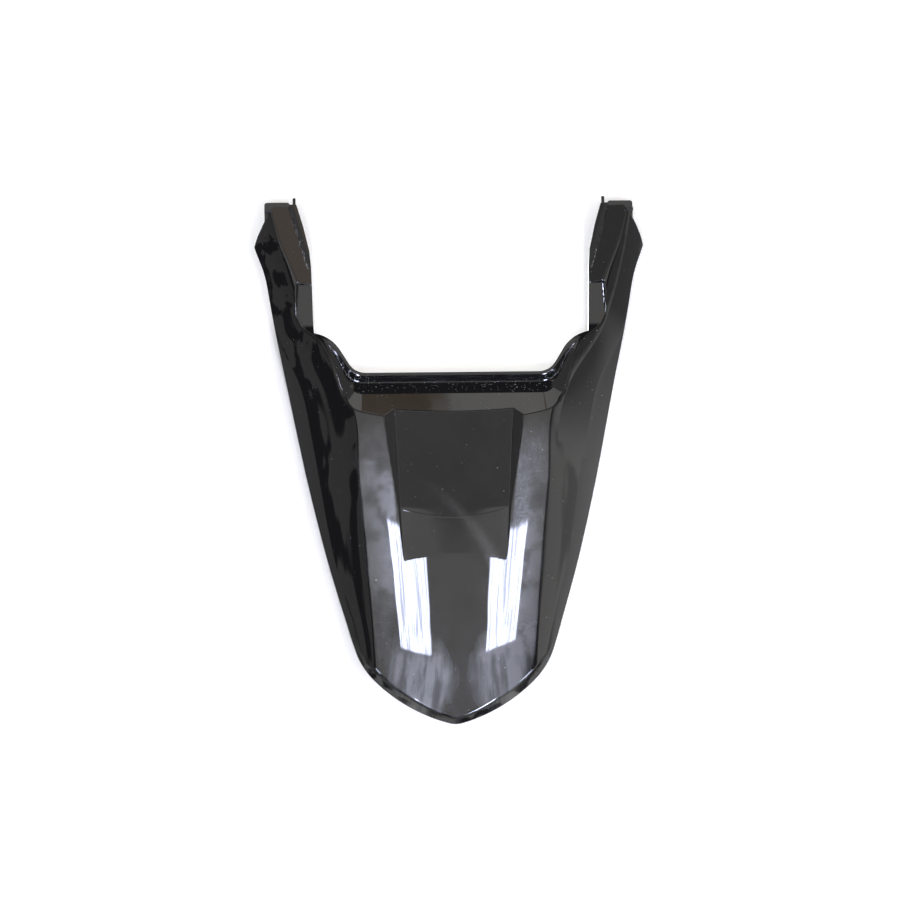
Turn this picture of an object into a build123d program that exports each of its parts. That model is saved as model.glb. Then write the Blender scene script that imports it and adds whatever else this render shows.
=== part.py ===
from build123d import *
from dataclasses import dataclass
from math import atan2, cos, radians, sin, tan
import os

# Motorcycle tail fairing, one injection moulding in gloss black plastic.
# X runs across, Y runs forward from the tail to the arms, Z is up.
# Distances along the part are measured forward from the tip of the tail.

# Whole part
overall_length = 392.5
wall = 2.6
beyond = 60.0

# Tail outline in plan: three arcs that run into each other, then a straight side
tip_radius = 17.0
tip_turn = 15.3
flank_radius = 126.0
flank_turn = 43.8
shoulder_radius = 63.3
shoulder_turn = 73.0
tail_wall_lean = 31.0
tail_wall_foot = -16.0
tail_wall_top = 22.0
tail_wall_reach = 57.0

# Deck and side panels
deck_crown = 7.8
panel_bulge = 0.045
skirt_depth = 14.0

# Seat scoop: the slope behind the seat, and the gutter at its foot
seat_slope = 37.6
scoop_height = 30.0
lip_height = 28.5
gutter_depth = 3.0
gutter_flat = 0.4

# Ledge at the waist of each arm
ledge_height = 24.5
ledge_rear = 295.6
ledge_front = 326.2
ledge_outer_rear = 114.9
ledge_outer_front = 113.0
ledge_rise = 9.0
ledge_rear_run = 20.2
ledge_side_run = 3.7
ledge_corner = 1.5
ledge_top_corner = 15.0

# Inner facet of each arm, a plane through three of its corners, and the flange below it
facet_front = (131.3, 381.8, 25.0)
facet_rear = (113.3, 327.7, 28.2)
facet_inner = (109.0, 353.6, 21.5)
flange_rear = (105.2, 338.3)
flange_front = (119.6, 386.3)
flange_drop = 1.4
facet_overlap = 6.0

# Free edges of the arms
inner_edge = [(102.4, 296.0), (103.4, 337.0), (104.6, 352.0), (109.0, 370.8), (114.0, 387.3)]
facet_end = 384.8
flange_end = 387.3
flange_end_half = 118.6
skin_corner = (129.8, 384.8)
skin_middle = (138.0, 372.7)
wing_tip = (145.6, 355.0)
rim_level_to = 225.0

# Tongue and peg at the front of each arm
tongue_inner = 118.7
tongue_outer = 137.6
tongue_rear = 362.0
tongue_front = 389.1
tongue_top = 17.5
tongue_corner = 2.0
web_front = 383.2
peg_radius = 1.2
peg_half = 115.4
peg_root = 379.0

# Sunk panel in the middle of the deck
panel_floor_half = 43.5
panel_bevel = 31.0
panel_rise = 20.0
panel_front = 229.0
panel_front_height = 39.7
panel_floor_slope = 0.075
panel_crease = 152.0
panel_ramp_slope = 0.08
panel_rear = 112.0
panel_end = 259.0
panel_taper = 0.052
floor_crown_radius = 550.0
ramp_front = 165.0
ramp_front_crown_radius = 657.0
ramp_rear_crown_radius = 218.0

# Rounding of the outer edges
crease_radius = 1.5
tail_edge_radius = 2.0
panel_front_radius = 1.0
arm_crest_radius = 1.5
panel_corner_chamfer = 2.5
long_edge = 60.0
crest_edge = 30.0
short_edge = 2.0
edge_reach = 2.0
crease_top = 12.0
tail_top = 4.0
tail_top_end = 97.0

# Screw bosses and ribs under the deck
boss_half = 40.0
boss_rear = 95.0
boss_front = 236.0
boss_radius = 4.5
boss_bore_radius = 2.1
boss_bore_depth = 12.0
boss_foot = 6.0
rib_thickness = 1.8
rib_rear_foot = 12.0
rib_front_foot = 20.0


@dataclass(frozen=True)
class Station:
    """One cross-section of the outer form.

    along: distance forward of the tip
    rim_half, rim_height: the lower edge of the side panel
    crease_half, crease_height: where side panel and deck meet
    """

    along: float
    rim_half: float
    rim_height: float
    crease_half: float
    crease_height: float


stations = [
    Station(-14, 69.0, -11.5, 57.6, -2.0),
    Station(20, 70.0, -4.2, 58.8, 5.6),
    Station(57, 75.1, 0, 60.4, 13.0),
    Station(107, 89.7, 0, 63.6, 21.2),
    Station(163, 104.0, 0, 68.2, 29.8),
    Station(194, 110.9, 0, 70.4, 34.5),
    Station(225, 117.2, 0, 71.9, 38.4),
    Station(259, 124.0, 2.0, 84.5, 34.6),
    Station(288, 130.0, 8.0, 99.0, 28.9),
    Station(316, 135.0, 13.0, 112.0, 28.2),
    Station(338, 139.5, 14.5, 118.5, 28.2),
    Station(355, 145.6, 13.0, 125.5, 27.6),
    Station(374, 150.3, 11.4, 130.9, 26.4),
    Station(395, 155.0, 9.4, 136.2, 24.7),
]


def place(along):
    """Y of a point that lies this far forward of the tip."""
    return along - overall_length / 2


def cross_section(along):
    """Plane across the part, with its own x along X and its own y along Z."""
    return Plane(origin=(0, place(along), 0), x_dir=(1, 0, 0), z_dir=(0, -1, 0))


def plan(height):
    """Level plane at this height, with distances along the part as its own y."""
    return Plane(origin=(0, place(0), height))


def circle_through(start, end, sagitta):
    """Centre and radius of the arc from start to end that bulges to the left by the sagitta."""
    chord = end - start
    radius = (chord.length**2 / 4 + sagitta**2) / (2 * sagitta)
    left = Vector(-chord.Y, chord.X).normalized()
    return (start + end) * 0.5 - left * (radius - sagitta), radius


def right_meeting(centre, radius, other_centre, other_radius):
    """The point on the right where two circles cross."""
    between = other_centre - centre
    share = (radius**2 - other_radius**2 + between.length**2) / (2 * between.length)
    height = (radius**2 - share**2) ** 0.5
    foot = centre + between.normalized() * share
    across = Vector(-between.Y, between.X).normalized() * height
    return max(foot + across, foot - across, key=lambda point: point.X)


def on_circle(centre, radius, towards, turn=0.0):
    """The point of the circle in the direction of another point, turned clockwise in radians."""
    angle = atan2(towards.Y - centre.Y, towards.X - centre.X) - turn
    return centre + Vector(cos(angle), sin(angle)) * radius


def section_points(station, inset):
    """Crease, rim, skirt end and crown of one section, each drawn in by the inset."""
    crease = Vector(station.crease_half, station.crease_height)
    rim = Vector(station.rim_half, station.rim_height)
    side_centre, side_radius = circle_through(crease, rim, panel_bulge * (rim - crease).length)
    mirrored_crease = Vector(-crease.X, crease.Y)
    deck_centre, deck_radius = circle_through(mirrored_crease, crease, deck_crown)
    inner_crease = right_meeting(deck_centre, deck_radius - inset, side_centre, side_radius - inset)
    inner_rim = on_circle(side_centre, side_radius - inset, rim)
    skirt = on_circle(side_centre, side_radius - inset, rim, skirt_depth / side_radius)
    crown = Vector(0, deck_centre.Y + deck_radius - inset)
    return inner_crease, inner_rim, skirt, crown


def hull(inset):
    """Deck and side panels as one body, drawn in by the inset."""
    with BuildPart() as body:
        for station in stations:
            crease, rim, skirt, crown = section_points(station, inset)
            with BuildSketch(cross_section(station.along)):
                with BuildLine():
                    ThreePointArc((crease.X, crease.Y), (rim.X, rim.Y), (skirt.X, skirt.Y))
                    Line((skirt.X, skirt.Y), (-skirt.X, skirt.Y))
                    ThreePointArc((-skirt.X, skirt.Y), (-rim.X, rim.Y), (-crease.X, crease.Y))
                    ThreePointArc((-crease.X, crease.Y), (0, crown.Y), (crease.X, crease.Y))
                make_face()
        loft()
    return body.part


def tail_outline(height, inset):
    """Plan of the tail at one height: the wall leans in as it rises."""
    growth = -height * tan(radians(tail_wall_lean)) - inset / cos(radians(tail_wall_lean))
    with BuildSketch(plan(height)) as outline:
        with BuildLine():
            tip = JernArc((0, -growth), (1, 0), tip_radius + growth, tip_turn)
            flank = JernArc(tip @ 1, tip % 1, flank_radius + growth, flank_turn - tip_turn)
            shoulder = JernArc(flank @ 1, flank % 1, shoulder_radius + growth, shoulder_turn - flank_turn)
            side = Line(shoulder @ 1, (shoulder @ 1) + Vector(2 * beyond, 2 * beyond))
            forward = Line(side @ 1, (side @ 1) + Vector(0, overall_length))
            Line(forward @ 1, (0, (forward @ 1).Y))
            mirror(about=Plane.YZ)
        make_face()
    return outline.sketch


def tail_form(inset):
    """Everything inside the leaning wall that closes the tail."""
    with BuildPart() as form:
        loft([tail_outline(tail_wall_foot, inset), tail_outline(tail_wall_top, inset)], ruled=True)
        with BuildSketch(plan(tail_wall_top)):
            with Locations((0, tail_wall_reach)):
                Rectangle(4 * beyond + overall_length, 2 * overall_length, align=(Align.CENTER, Align.MIN))
        extrude(amount=beyond)
    return form.part


@dataclass(frozen=True)
class SeatLine:
    """A line round the seat: straight across, round a corner, then bending out to the arm."""

    foot: float
    half: float
    corner: float
    turn: float
    run: float
    bend: float
    bend_turn: float


slope_foot = SeatLine(244.0, 66.9, 9.2, 67.0, 11.8, 87.5, 18.8)
gutter_bottom = SeatLine(252.7, 66.4, 14.7, 60.0, 9.5, 120.0, 9.7)
lip_line = SeatLine(257.8, 65.8, 13.0, 55.6, 8.6, 64.0, 18.3)
lip_edge = SeatLine(259.6, 64.1, 14.5, 58.0, 11.8, 29.6, 46.6)


def seat_path(line, growth=0.0):
    """Right half of a seat line, moved outward by the growth, as edges in the open BuildLine."""
    across = Line((0, line.foot - growth), (line.half, line.foot - growth))
    corner = JernArc(across @ 1, (1, 0), line.corner + growth, line.turn)
    run = Line(corner @ 1, (corner @ 1) + (corner % 1) * line.run)
    return JernArc(run @ 1, run % 1, line.bend - growth, -line.bend_turn)


def lowering(inset):
    """How far the seat surfaces move down, so that the wall is right square to the slope."""
    return inset / cos(radians(seat_slope))


def scoop_outline(rise, inset):
    """Plan of the room for the seat, this far above the lip."""
    growth = rise / tan(radians(seat_slope))
    with BuildSketch(plan(lip_height - lowering(inset) + rise)) as outline:
        with BuildLine():
            bend = seat_path(slope_foot, growth)
            forward = Line(bend @ 1, ((bend @ 1).X, overall_length + beyond))
            Line(forward @ 1, (0, overall_length + beyond))
            mirror(about=Plane.YZ)
        make_face()
    return outline.sketch


def gutter_ring(rear_line, front_line, height, rear_growth=0.0, front_growth=0.0):
    """Plan of the gutter at one height, between two seat lines."""
    with BuildSketch(plan(height)) as ring:
        with BuildLine():
            rear = seat_path(rear_line, rear_growth)
            front = seat_path(front_line, front_growth)
            Line(rear @ 1, front @ 1)
            mirror(about=Plane.YZ)
        make_face()
    return ring.sketch


def seat_scoop(inset):
    """The room behind and under the seat: the slope down from the deck, and the gutter."""
    lip = lip_height - lowering(inset)
    with BuildPart() as room:
        loft([scoop_outline(0, inset), scoop_outline(scoop_height, inset)], ruled=True)
        loft(
            [
                gutter_ring(gutter_bottom, gutter_bottom, lip - gutter_depth, gutter_flat, -gutter_flat),
                gutter_ring(slope_foot, lip_line, lip),
            ],
            ruled=True,
        )
    return room.part


def ledge_outline(rise, inset):
    """Plan of the cut over the waist ledge, this far above the ledge."""
    share = rise / ledge_rise
    rear = ledge_rear - ledge_rear_run * share
    outer = ledge_side_run * share
    corner = ledge_corner + (ledge_top_corner - ledge_corner) * share
    inner_half = lip_edge.half
    with BuildSketch(plan(ledge_height - lowering(inset) + rise)) as outline:
        with BuildLine():
            edges = Polyline(
                (inner_half, rear),
                (ledge_outer_rear + outer, rear),
                (ledge_outer_front + outer, ledge_front),
                (inner_half, ledge_front),
                close=True,
            )
        face = make_face()
        fillet(face.vertices().group_by(Axis.Y)[0].sort_by(Axis.X)[-1], corner)
    return outline.sketch


def arm_plane(inset):
    """Plane of the inner facet, with its x level and its y running forward."""
    corner, forward, inner = (Vector(x, place(y), z) for x, y, z in (facet_rear, facet_front, facet_inner))
    normal = (forward - corner).cross(inner - corner).normalized()
    if normal.Z < 0:
        normal = normal * -1
    return Plane(origin=corner - normal * inset, x_dir=(normal.Z, 0, -normal.X), z_dir=normal)


def on_arm_plane(half, along):
    """The point of the inner facet at this place in plan."""
    facet = arm_plane(0)
    offset_x = half - facet.origin.X
    offset_y = place(along) - facet.origin.Y
    normal = facet.z_dir
    return Vector(half, place(along), facet.origin.Z - (normal.X * offset_x + normal.Y * offset_y) / normal.Z)


def flange_height(half, along):
    """Height of the flange at this place in plan."""
    level = flange_plane(0)
    offset = Vector(half, place(along)) - Vector(level.origin.X, level.origin.Y)
    return level.origin.Z - (level.z_dir.X * offset.X + level.z_dir.Y * offset.Y) / level.z_dir.Z


def flange_plane(inset):
    """Plane of the flange: level across, and parallel to the facet's inner edge."""
    rear = on_arm_plane(*flange_rear)
    forward = (on_arm_plane(*flange_front) - rear).normalized()
    level = forward.cross(Vector(0, 0, 1)).normalized()
    return Plane(origin=rear - Vector(0, 0, flange_drop + inset), x_dir=level, z_dir=level.cross(forward))


def arm_cuts(inset):
    """What is cut from the top of the right arm: over the ledge, the facet and the flange."""
    with BuildPart() as cuts:
        loft([ledge_outline(0, inset), ledge_outline(ledge_rise, inset)], ruled=True)
        with BuildPart(arm_plane(inset), mode=Mode.PRIVATE) as facet_cut:
            with Locations((0, -facet_overlap, 0)):
                Box(2 * beyond, 2 * beyond, beyond, align=(Align.CENTER, Align.MIN, Align.MIN))
        with BuildPart(flange_plane(inset), mode=Mode.PRIVATE) as flange_cut:
            Box(beyond, 2 * beyond, beyond, align=(Align.MAX, Align.MIN, Align.MIN))
        add(facet_cut.part)
        add(flange_cut.part)
    return cuts.part


def panel_section(along, height, crown_radius, inset):
    """Section of the sunk panel's room: a crowned floor between two leaning sides."""
    half = panel_floor_half - panel_taper * (panel_front - along)
    edge = height - crown_radius + (crown_radius**2 - half**2) ** 0.5 - inset
    spread = panel_rise / tan(radians(panel_bevel))
    with BuildSketch(cross_section(along)) as section:
        with BuildLine():
            floor = ThreePointArc((-half, edge), (0, height - inset), (half, edge))
            rise = Line(floor @ 1, (half + spread, edge + panel_rise))
            top = Line(rise @ 1, (-half - spread, edge + panel_rise))
            Line(top @ 1, floor @ 0)
        make_face()
    return section.sketch


def sunk_panel(inset):
    """The room over the sunk panel: a long floor, then a ramp that runs out into the deck.

    The ramp takes on the crown of the deck towards its rear, so it ends in a straight line.
    """
    crease_height = panel_front_height - panel_floor_slope * (panel_front - panel_crease)
    floor_ends = ((panel_rear, floor_crown_radius), (panel_end, floor_crown_radius))
    ramp_ends = ((panel_rear, ramp_rear_crown_radius), (ramp_front, ramp_front_crown_radius))
    with BuildPart() as room:
        for slope, ends in ((panel_floor_slope, floor_ends), (panel_ramp_slope, ramp_ends)):
            sections = [
                panel_section(along, crease_height + slope * (along - panel_crease), crown, inset)
                for along, crown in ends
            ]
            loft(sections, ruled=True)
    return room.part


def outer_form(inset):
    """The whole form as one body, drawn in by the inset."""
    with BuildPart() as form:
        add(hull(inset))
        add(tail_form(inset), mode=Mode.INTERSECT)
        add(sunk_panel(inset), mode=Mode.SUBTRACT)
        add(seat_scoop(inset), mode=Mode.SUBTRACT)
        with BuildPart(mode=Mode.PRIVATE) as both_arms:
            add(arm_cuts(inset))
            mirror(about=Plane.YZ)
        add(both_arms.part, mode=Mode.SUBTRACT)
    return form.part


def seat_opening():
    """Everything between the lip of the gutter and the free edges of the two arms."""
    with BuildPart() as opening:
        with BuildSketch(plan(-beyond)):
            with BuildLine():
                edge = seat_path(lip_edge)
                waist = Line(edge @ 1, inner_edge[0])
                arm = Spline([waist @ 1] + inner_edge[1:])
                forward = Line(arm @ 1, (arm @ 1) + Vector(beyond / 4, beyond))
                Line(forward @ 1, (0, (forward @ 1).Y))
                mirror(about=Plane.YZ)
            make_face()
        extrude(amount=3 * beyond)
    return opening.part


def front_cut():
    """Everything in front of the arms and outside their slanting front edges."""
    with BuildPart() as front:
        with BuildSketch(plan(-beyond)):
            with BuildLine():
                flange = Line((0, flange_end), (flange_end_half, flange_end))
                step = Line(flange @ 1, (flange_end_half, facet_end))
                facet = Line(step @ 1, skin_corner)
                skin = ThreePointArc(skin_corner, skin_middle, wing_tip)
                side = Line(skin @ 1, (4 * beyond, wing_tip[1]))
                ahead = Line(side @ 1, (4 * beyond, overall_length + 2 * beyond))
                Line(ahead @ 1, (0, overall_length + 2 * beyond))
                mirror(about=Plane.YZ)
            make_face()
        extrude(amount=3 * beyond)
    return front.part


def under_rim():
    """Everything below the lower edge of the side panels."""
    rising = [station for station in stations if station.along >= rim_level_to]
    with BuildPart() as below:
        with BuildSketch(Plane.YZ):
            with BuildLine():
                level = Line((place(-2 * beyond), 0), (place(rim_level_to), 0))
                rim = Spline(
                    [level @ 1] + [(place(station.along), station.rim_height) for station in rising[1:]],
                    tangents=[(1, 0), (1, -0.1)],
                )
                front = Line(rim @ 1, ((rim @ 1).X, -beyond))
                rear = Line(front @ 1, (place(-2 * beyond), -beyond))
                Line(rear @ 1, level @ 0)
            make_face()
        extrude(amount=4 * beyond, both=True)
    return below.part


def boss_places():
    """Where the four screw bosses stand."""
    return Locations(*[(side * boss_half, place(along)) for side in (-1, 1) for along in (boss_rear, boss_front)])


def underside_frame():
    """Bosses and ribs, reaching up past the skin; they are cut back to the inside of it."""
    with BuildPart() as posts:
        with BuildSketch(Plane.XY.offset(boss_foot)):
            with boss_places():
                Circle(boss_radius)
        extrude(amount=beyond)
        with BuildSketch(Plane.YZ) as rib_side:
            with BuildLine():
                Polyline(
                    (place(boss_rear), rib_rear_foot),
                    (place(boss_front), rib_front_foot),
                    (place(boss_front), beyond),
                    (place(boss_rear), beyond),
                    close=True,
                )
            make_face()
        with Locations((-boss_half, 0, 0), (boss_half, 0, 0)):
            add(extrude(rib_side.sketch, amount=rib_thickness / 2, both=True, mode=Mode.PRIVATE))
        for along, foot in ((boss_rear, rib_rear_foot), (boss_front, rib_front_foot)):
            with Locations((0, place(along), foot)):
                Box(2 * boss_half, rib_thickness, beyond, align=(Align.CENTER, Align.CENTER, Align.MIN))
    return posts.part


def arm_fixings():
    """Tongue with its rib and web, and the locating peg, at the front of the right arm."""
    middle = (tongue_inner + tongue_outer) / 2
    with BuildPart() as fixings:
        with Locations((middle, place(tongue_rear), tongue_top)):
            Box(
                tongue_outer - tongue_inner,
                tongue_front - tongue_rear,
                wall,
                align=(Align.CENTER, Align.MIN, Align.MAX),
            )
        fillet(fixings.edges().filter_by(Axis.Z).group_by(Axis.Y)[-1], tongue_corner)
        with Locations((tongue_inner, place(tongue_rear), tongue_top - wall)):
            Box(wall, web_front - tongue_rear, beyond / 2, align=(Align.MIN, Align.MIN, Align.MIN))
        with Locations((middle, place(web_front), tongue_top - wall)):
            Box(tongue_outer - tongue_inner, wall, beyond / 2, align=(Align.CENTER, Align.MAX, Align.MIN))
    return fixings.part


def locating_peg():
    """Round peg that stands out in front of the right arm's flange."""
    height = flange_height(peg_half, peg_root) - wall / 2
    with BuildPart() as peg:
        with BuildSketch(Plane(origin=(peg_half, place(peg_root), height), x_dir=(1, 0, 0), z_dir=(0, 1, 0))):
            Circle(peg_radius)
        extrude(amount=overall_length - peg_root)
        chamfer(peg.edges().filter_by(GeomType.CIRCLE).sort_by(Axis.Y)[-1], peg_radius / 3)
    return peg.part


def rounded_form():
    """The outer form with its long edges rounded, as the mould has them."""
    with BuildPart() as form:
        add(outer_form(0))
        chamfer(
            form.edges().filter_by(lambda edge: on_panel_corner(edge @ 0.5)),
            length=panel_corner_chamfer,
        )
        fillet(
            form.edges().filter_by(lambda edge: edge.length > long_edge and on_deck_side(edge @ 0.5)),
            radius=crease_radius,
        )
        fillet(
            form.edges().filter_by(lambda edge: edge.length > short_edge and on_tail_top(edge @ 0.5)),
            radius=tail_edge_radius,
        )
        fillet(
            form.edges().filter_by(lambda edge: edge.length > long_edge and on_panel_front(edge @ 0.5)),
            radius=panel_front_radius,
        )
        fillet(
            form.edges().filter_by(lambda edge: edge.length > crest_edge and on_arm_crest(edge @ 0.5)),
            radius=arm_crest_radius,
        )
    return form.part


def on_panel_corner(point):
    """True where a side of the sunk panel meets the slope behind the seat."""
    beside = panel_floor_half < abs(point.X) < stations[0].crease_half - edge_reach
    along = abs(point.Y - place(panel_front)) < edge_reach
    return beside and along and point.Z > panel_front_height - edge_reach


def on_deck_side(point):
    """True on the crease between deck and side panel."""
    return abs(point.X) > stations[0].crease_half and point.Y < 0 and point.Z > crease_top


def on_tail_top(point):
    """True where the leaning tail wall meets the deck."""
    return point.Y < place(tail_top_end) and point.Z > tail_top


def on_panel_front(point):
    """True where the floor of the sunk panel meets the slope behind the seat."""
    along = abs(point.Y - place(panel_front)) < 1.5 * edge_reach
    return abs(point.X) < 1 and along and point.Z > panel_front_height - 1.5 * edge_reach


def on_arm_crest(point):
    """True on the crest between the inner facet of an arm and its side panel."""
    along = place(ledge_front) < point.Y < place(facet_end)
    return along and abs(point.X) > ledge_outer_front and point.Z > ledge_height - 0.5


outer = rounded_form()
inner = outer_form(wall)
middle = outer_form(wall / 2)
with BuildPart() as tail_cowl:
    add(outer)
    add(inner, mode=Mode.SUBTRACT)
    with BuildPart(mode=Mode.PRIVATE) as inside:
        add(underside_frame())
        add(middle, mode=Mode.INTERSECT)
    add(inside.part)
    with BuildSketch(Plane.XY.offset(boss_foot)):
        with boss_places():
            Circle(boss_bore_radius)
    extrude(amount=boss_bore_depth, mode=Mode.SUBTRACT)
    add(seat_opening(), mode=Mode.SUBTRACT)
    add(front_cut(), mode=Mode.SUBTRACT)
    add(under_rim(), mode=Mode.SUBTRACT)
    with BuildPart(mode=Mode.PRIVATE) as right_fixings:
        add(arm_fixings())
        add(middle, mode=Mode.INTERSECT)
        add(locating_peg())
    add(right_fixings.part)
    add(mirror(right_fixings.part, about=Plane.YZ, mode=Mode.PRIVATE))
os.makedirs("parts", exist_ok=True)
tail_cowl.part.label = "tail_cowl"
export_step(tail_cowl.part, "parts/tail_cowl.step")
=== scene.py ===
import logging
import math
from dataclasses import dataclass
from enum import Enum
from typing import Callable

import bpy
import numpy as np
from mathutils import Matrix, Vector


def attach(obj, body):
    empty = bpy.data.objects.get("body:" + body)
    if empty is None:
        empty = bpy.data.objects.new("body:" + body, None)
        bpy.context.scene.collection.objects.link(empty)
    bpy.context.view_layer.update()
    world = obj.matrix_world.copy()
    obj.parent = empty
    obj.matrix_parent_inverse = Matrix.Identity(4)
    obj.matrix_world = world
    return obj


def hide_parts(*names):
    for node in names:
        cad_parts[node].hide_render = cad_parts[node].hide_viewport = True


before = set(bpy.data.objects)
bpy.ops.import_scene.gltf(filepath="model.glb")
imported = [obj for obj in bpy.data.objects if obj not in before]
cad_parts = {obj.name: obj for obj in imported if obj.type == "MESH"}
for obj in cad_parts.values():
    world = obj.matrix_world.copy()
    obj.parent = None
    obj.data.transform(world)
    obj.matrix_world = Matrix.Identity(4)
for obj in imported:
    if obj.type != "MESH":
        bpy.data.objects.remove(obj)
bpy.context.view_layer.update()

log = logging.getLogger("tail_cowl")
logging.basicConfig(level=logging.INFO, format="%(message)s")

MM = 0.001
Array = np.ndarray
Pair = tuple[float, float]


class Face(Enum):
    """The two faces of the moulded wall, as how far each lies inside the outer form, in mm."""

    OUTER = 0.0
    INNER = 2.6


@dataclass(frozen=True)
class Station:
    """One cross-section of the outer form, in mm.

    Args:
        along: distance forward of the tip.
        rim_half, rim_height: the lower edge of the side panel.
        crease_half, crease_height: where side panel and deck meet.
    """

    along: float
    rim_half: float
    rim_height: float
    crease_half: float
    crease_height: float


def spline_through(knots: Array, values: Array) -> Callable[[Array], Array]:
    """A natural cubic spline: its second derivative is continuous and is nothing at both ends.

    Args:
        knots: rising places of the values.
        values: what the spline is at each knot.

    Returns:
        A function of an array of places.
    """
    count = len(knots)
    step = np.diff(knots)
    rise = np.diff(values) / step
    matrix = np.eye(count)
    inner = np.arange(1, count - 1)
    matrix[inner, inner - 1] = step[:-1]
    matrix[inner, inner] = 2 * (step[:-1] + step[1:])
    matrix[inner, inner + 1] = step[1:]
    right = np.zeros(count)
    right[1:-1] = 6 * np.diff(rise)
    bend = np.linalg.solve(matrix, right)

    def at(place: Array) -> Array:
        """The spline's value at each place."""
        cell = np.clip(np.searchsorted(knots, place, side="right") - 1, 0, count - 2)
        span = step[cell]
        before = knots[cell + 1] - place
        after = place - knots[cell]
        cubic = (bend[cell] * before**3 + bend[cell + 1] * after**3) / (6 * span)
        start = (values[cell] / span - bend[cell] * span / 6) * before
        end = (values[cell + 1] / span - bend[cell + 1] * span / 6) * after
        return cubic + start + end

    return at


def soft_low(first: Array, second: Array, blend: float) -> Array:
    """The lower of two heights, with the edge between them rounded over a height of the blend."""
    near = np.clip(1 - np.abs(first - second) / blend, 0, 1)
    return np.minimum(first, second) - near**2 * blend / 4


def soft_high(first: Array, second: Array, blend: float) -> Array:
    """The higher of two heights, with the corner between them filled over a height of the blend."""
    return -soft_low(-first, -second, blend)


def smooth_step(low: float, high: float, value: Array) -> Array:
    """0 below low, 1 above high, and 3t^2 - 2t^3 between them."""
    share = np.clip((value - low) / (high - low), 0, 1)
    return share * share * (3 - 2 * share)


def ray(degrees: float) -> Array:
    """Unit vector in plan at this angle from X."""
    return np.array([math.cos(math.radians(degrees)), math.sin(math.radians(degrees))])


@dataclass(frozen=True)
class SeatLine:
    """A line round the seat: straight across, round a corner, then bending out to the arm."""

    foot: float
    half: float
    corner: float
    turn: float
    run: float
    bend: float

    def behind(self, x: Array, d: Array) -> Array:
        """Signed distance from the line, more than nothing on the tail's side of it.

        It is foot - d along the straight part, the distance from the corner's centre less its
        radius round the corner, the distance square to the run beside it, and the bend's radius
        less the distance from the bend's centre beyond that.
        """
        centre = np.array([self.half, self.foot + self.corner])
        outward = ray(self.turn - 90)
        heading = ray(self.turn)
        run_start = centre + outward * self.corner
        bend_centre = run_start + heading * self.run + outward * self.bend
        beside = (x - run_start[0]) * outward[0] + (d - run_start[1]) * outward[1]
        passed = (x - run_start[0]) * heading[0] + (d - run_start[1]) * heading[1]
        around = np.hypot(x - centre[0], d - centre[1]) - self.corner
        bending = self.bend - np.hypot(x - bend_centre[0], d - bend_centre[1])
        result = np.where(passed > 0, beside, around)
        result = np.where(passed > self.run, bending, result)
        return np.where(x < self.half, self.foot - d, result)

    def points(self, bend_turn: float, count: int = 40) -> Array:
        """The line from the end of its straight part to the end of its bend, as rows of x, d."""
        centre = np.array([self.half, self.foot + self.corner])
        turns = np.linspace(0, self.turn, count)
        corner = centre + self.corner * np.stack([ray(turn - 90) for turn in turns])
        run_end = corner[-1] + ray(self.turn) * self.run
        bend_centre = run_end + ray(self.turn - 90) * self.bend
        turns = np.linspace(0, bend_turn, count)
        bend = bend_centre - self.bend * np.stack([ray(self.turn - 90 - turn) for turn in turns])
        return np.vstack([corner, bend])


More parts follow.
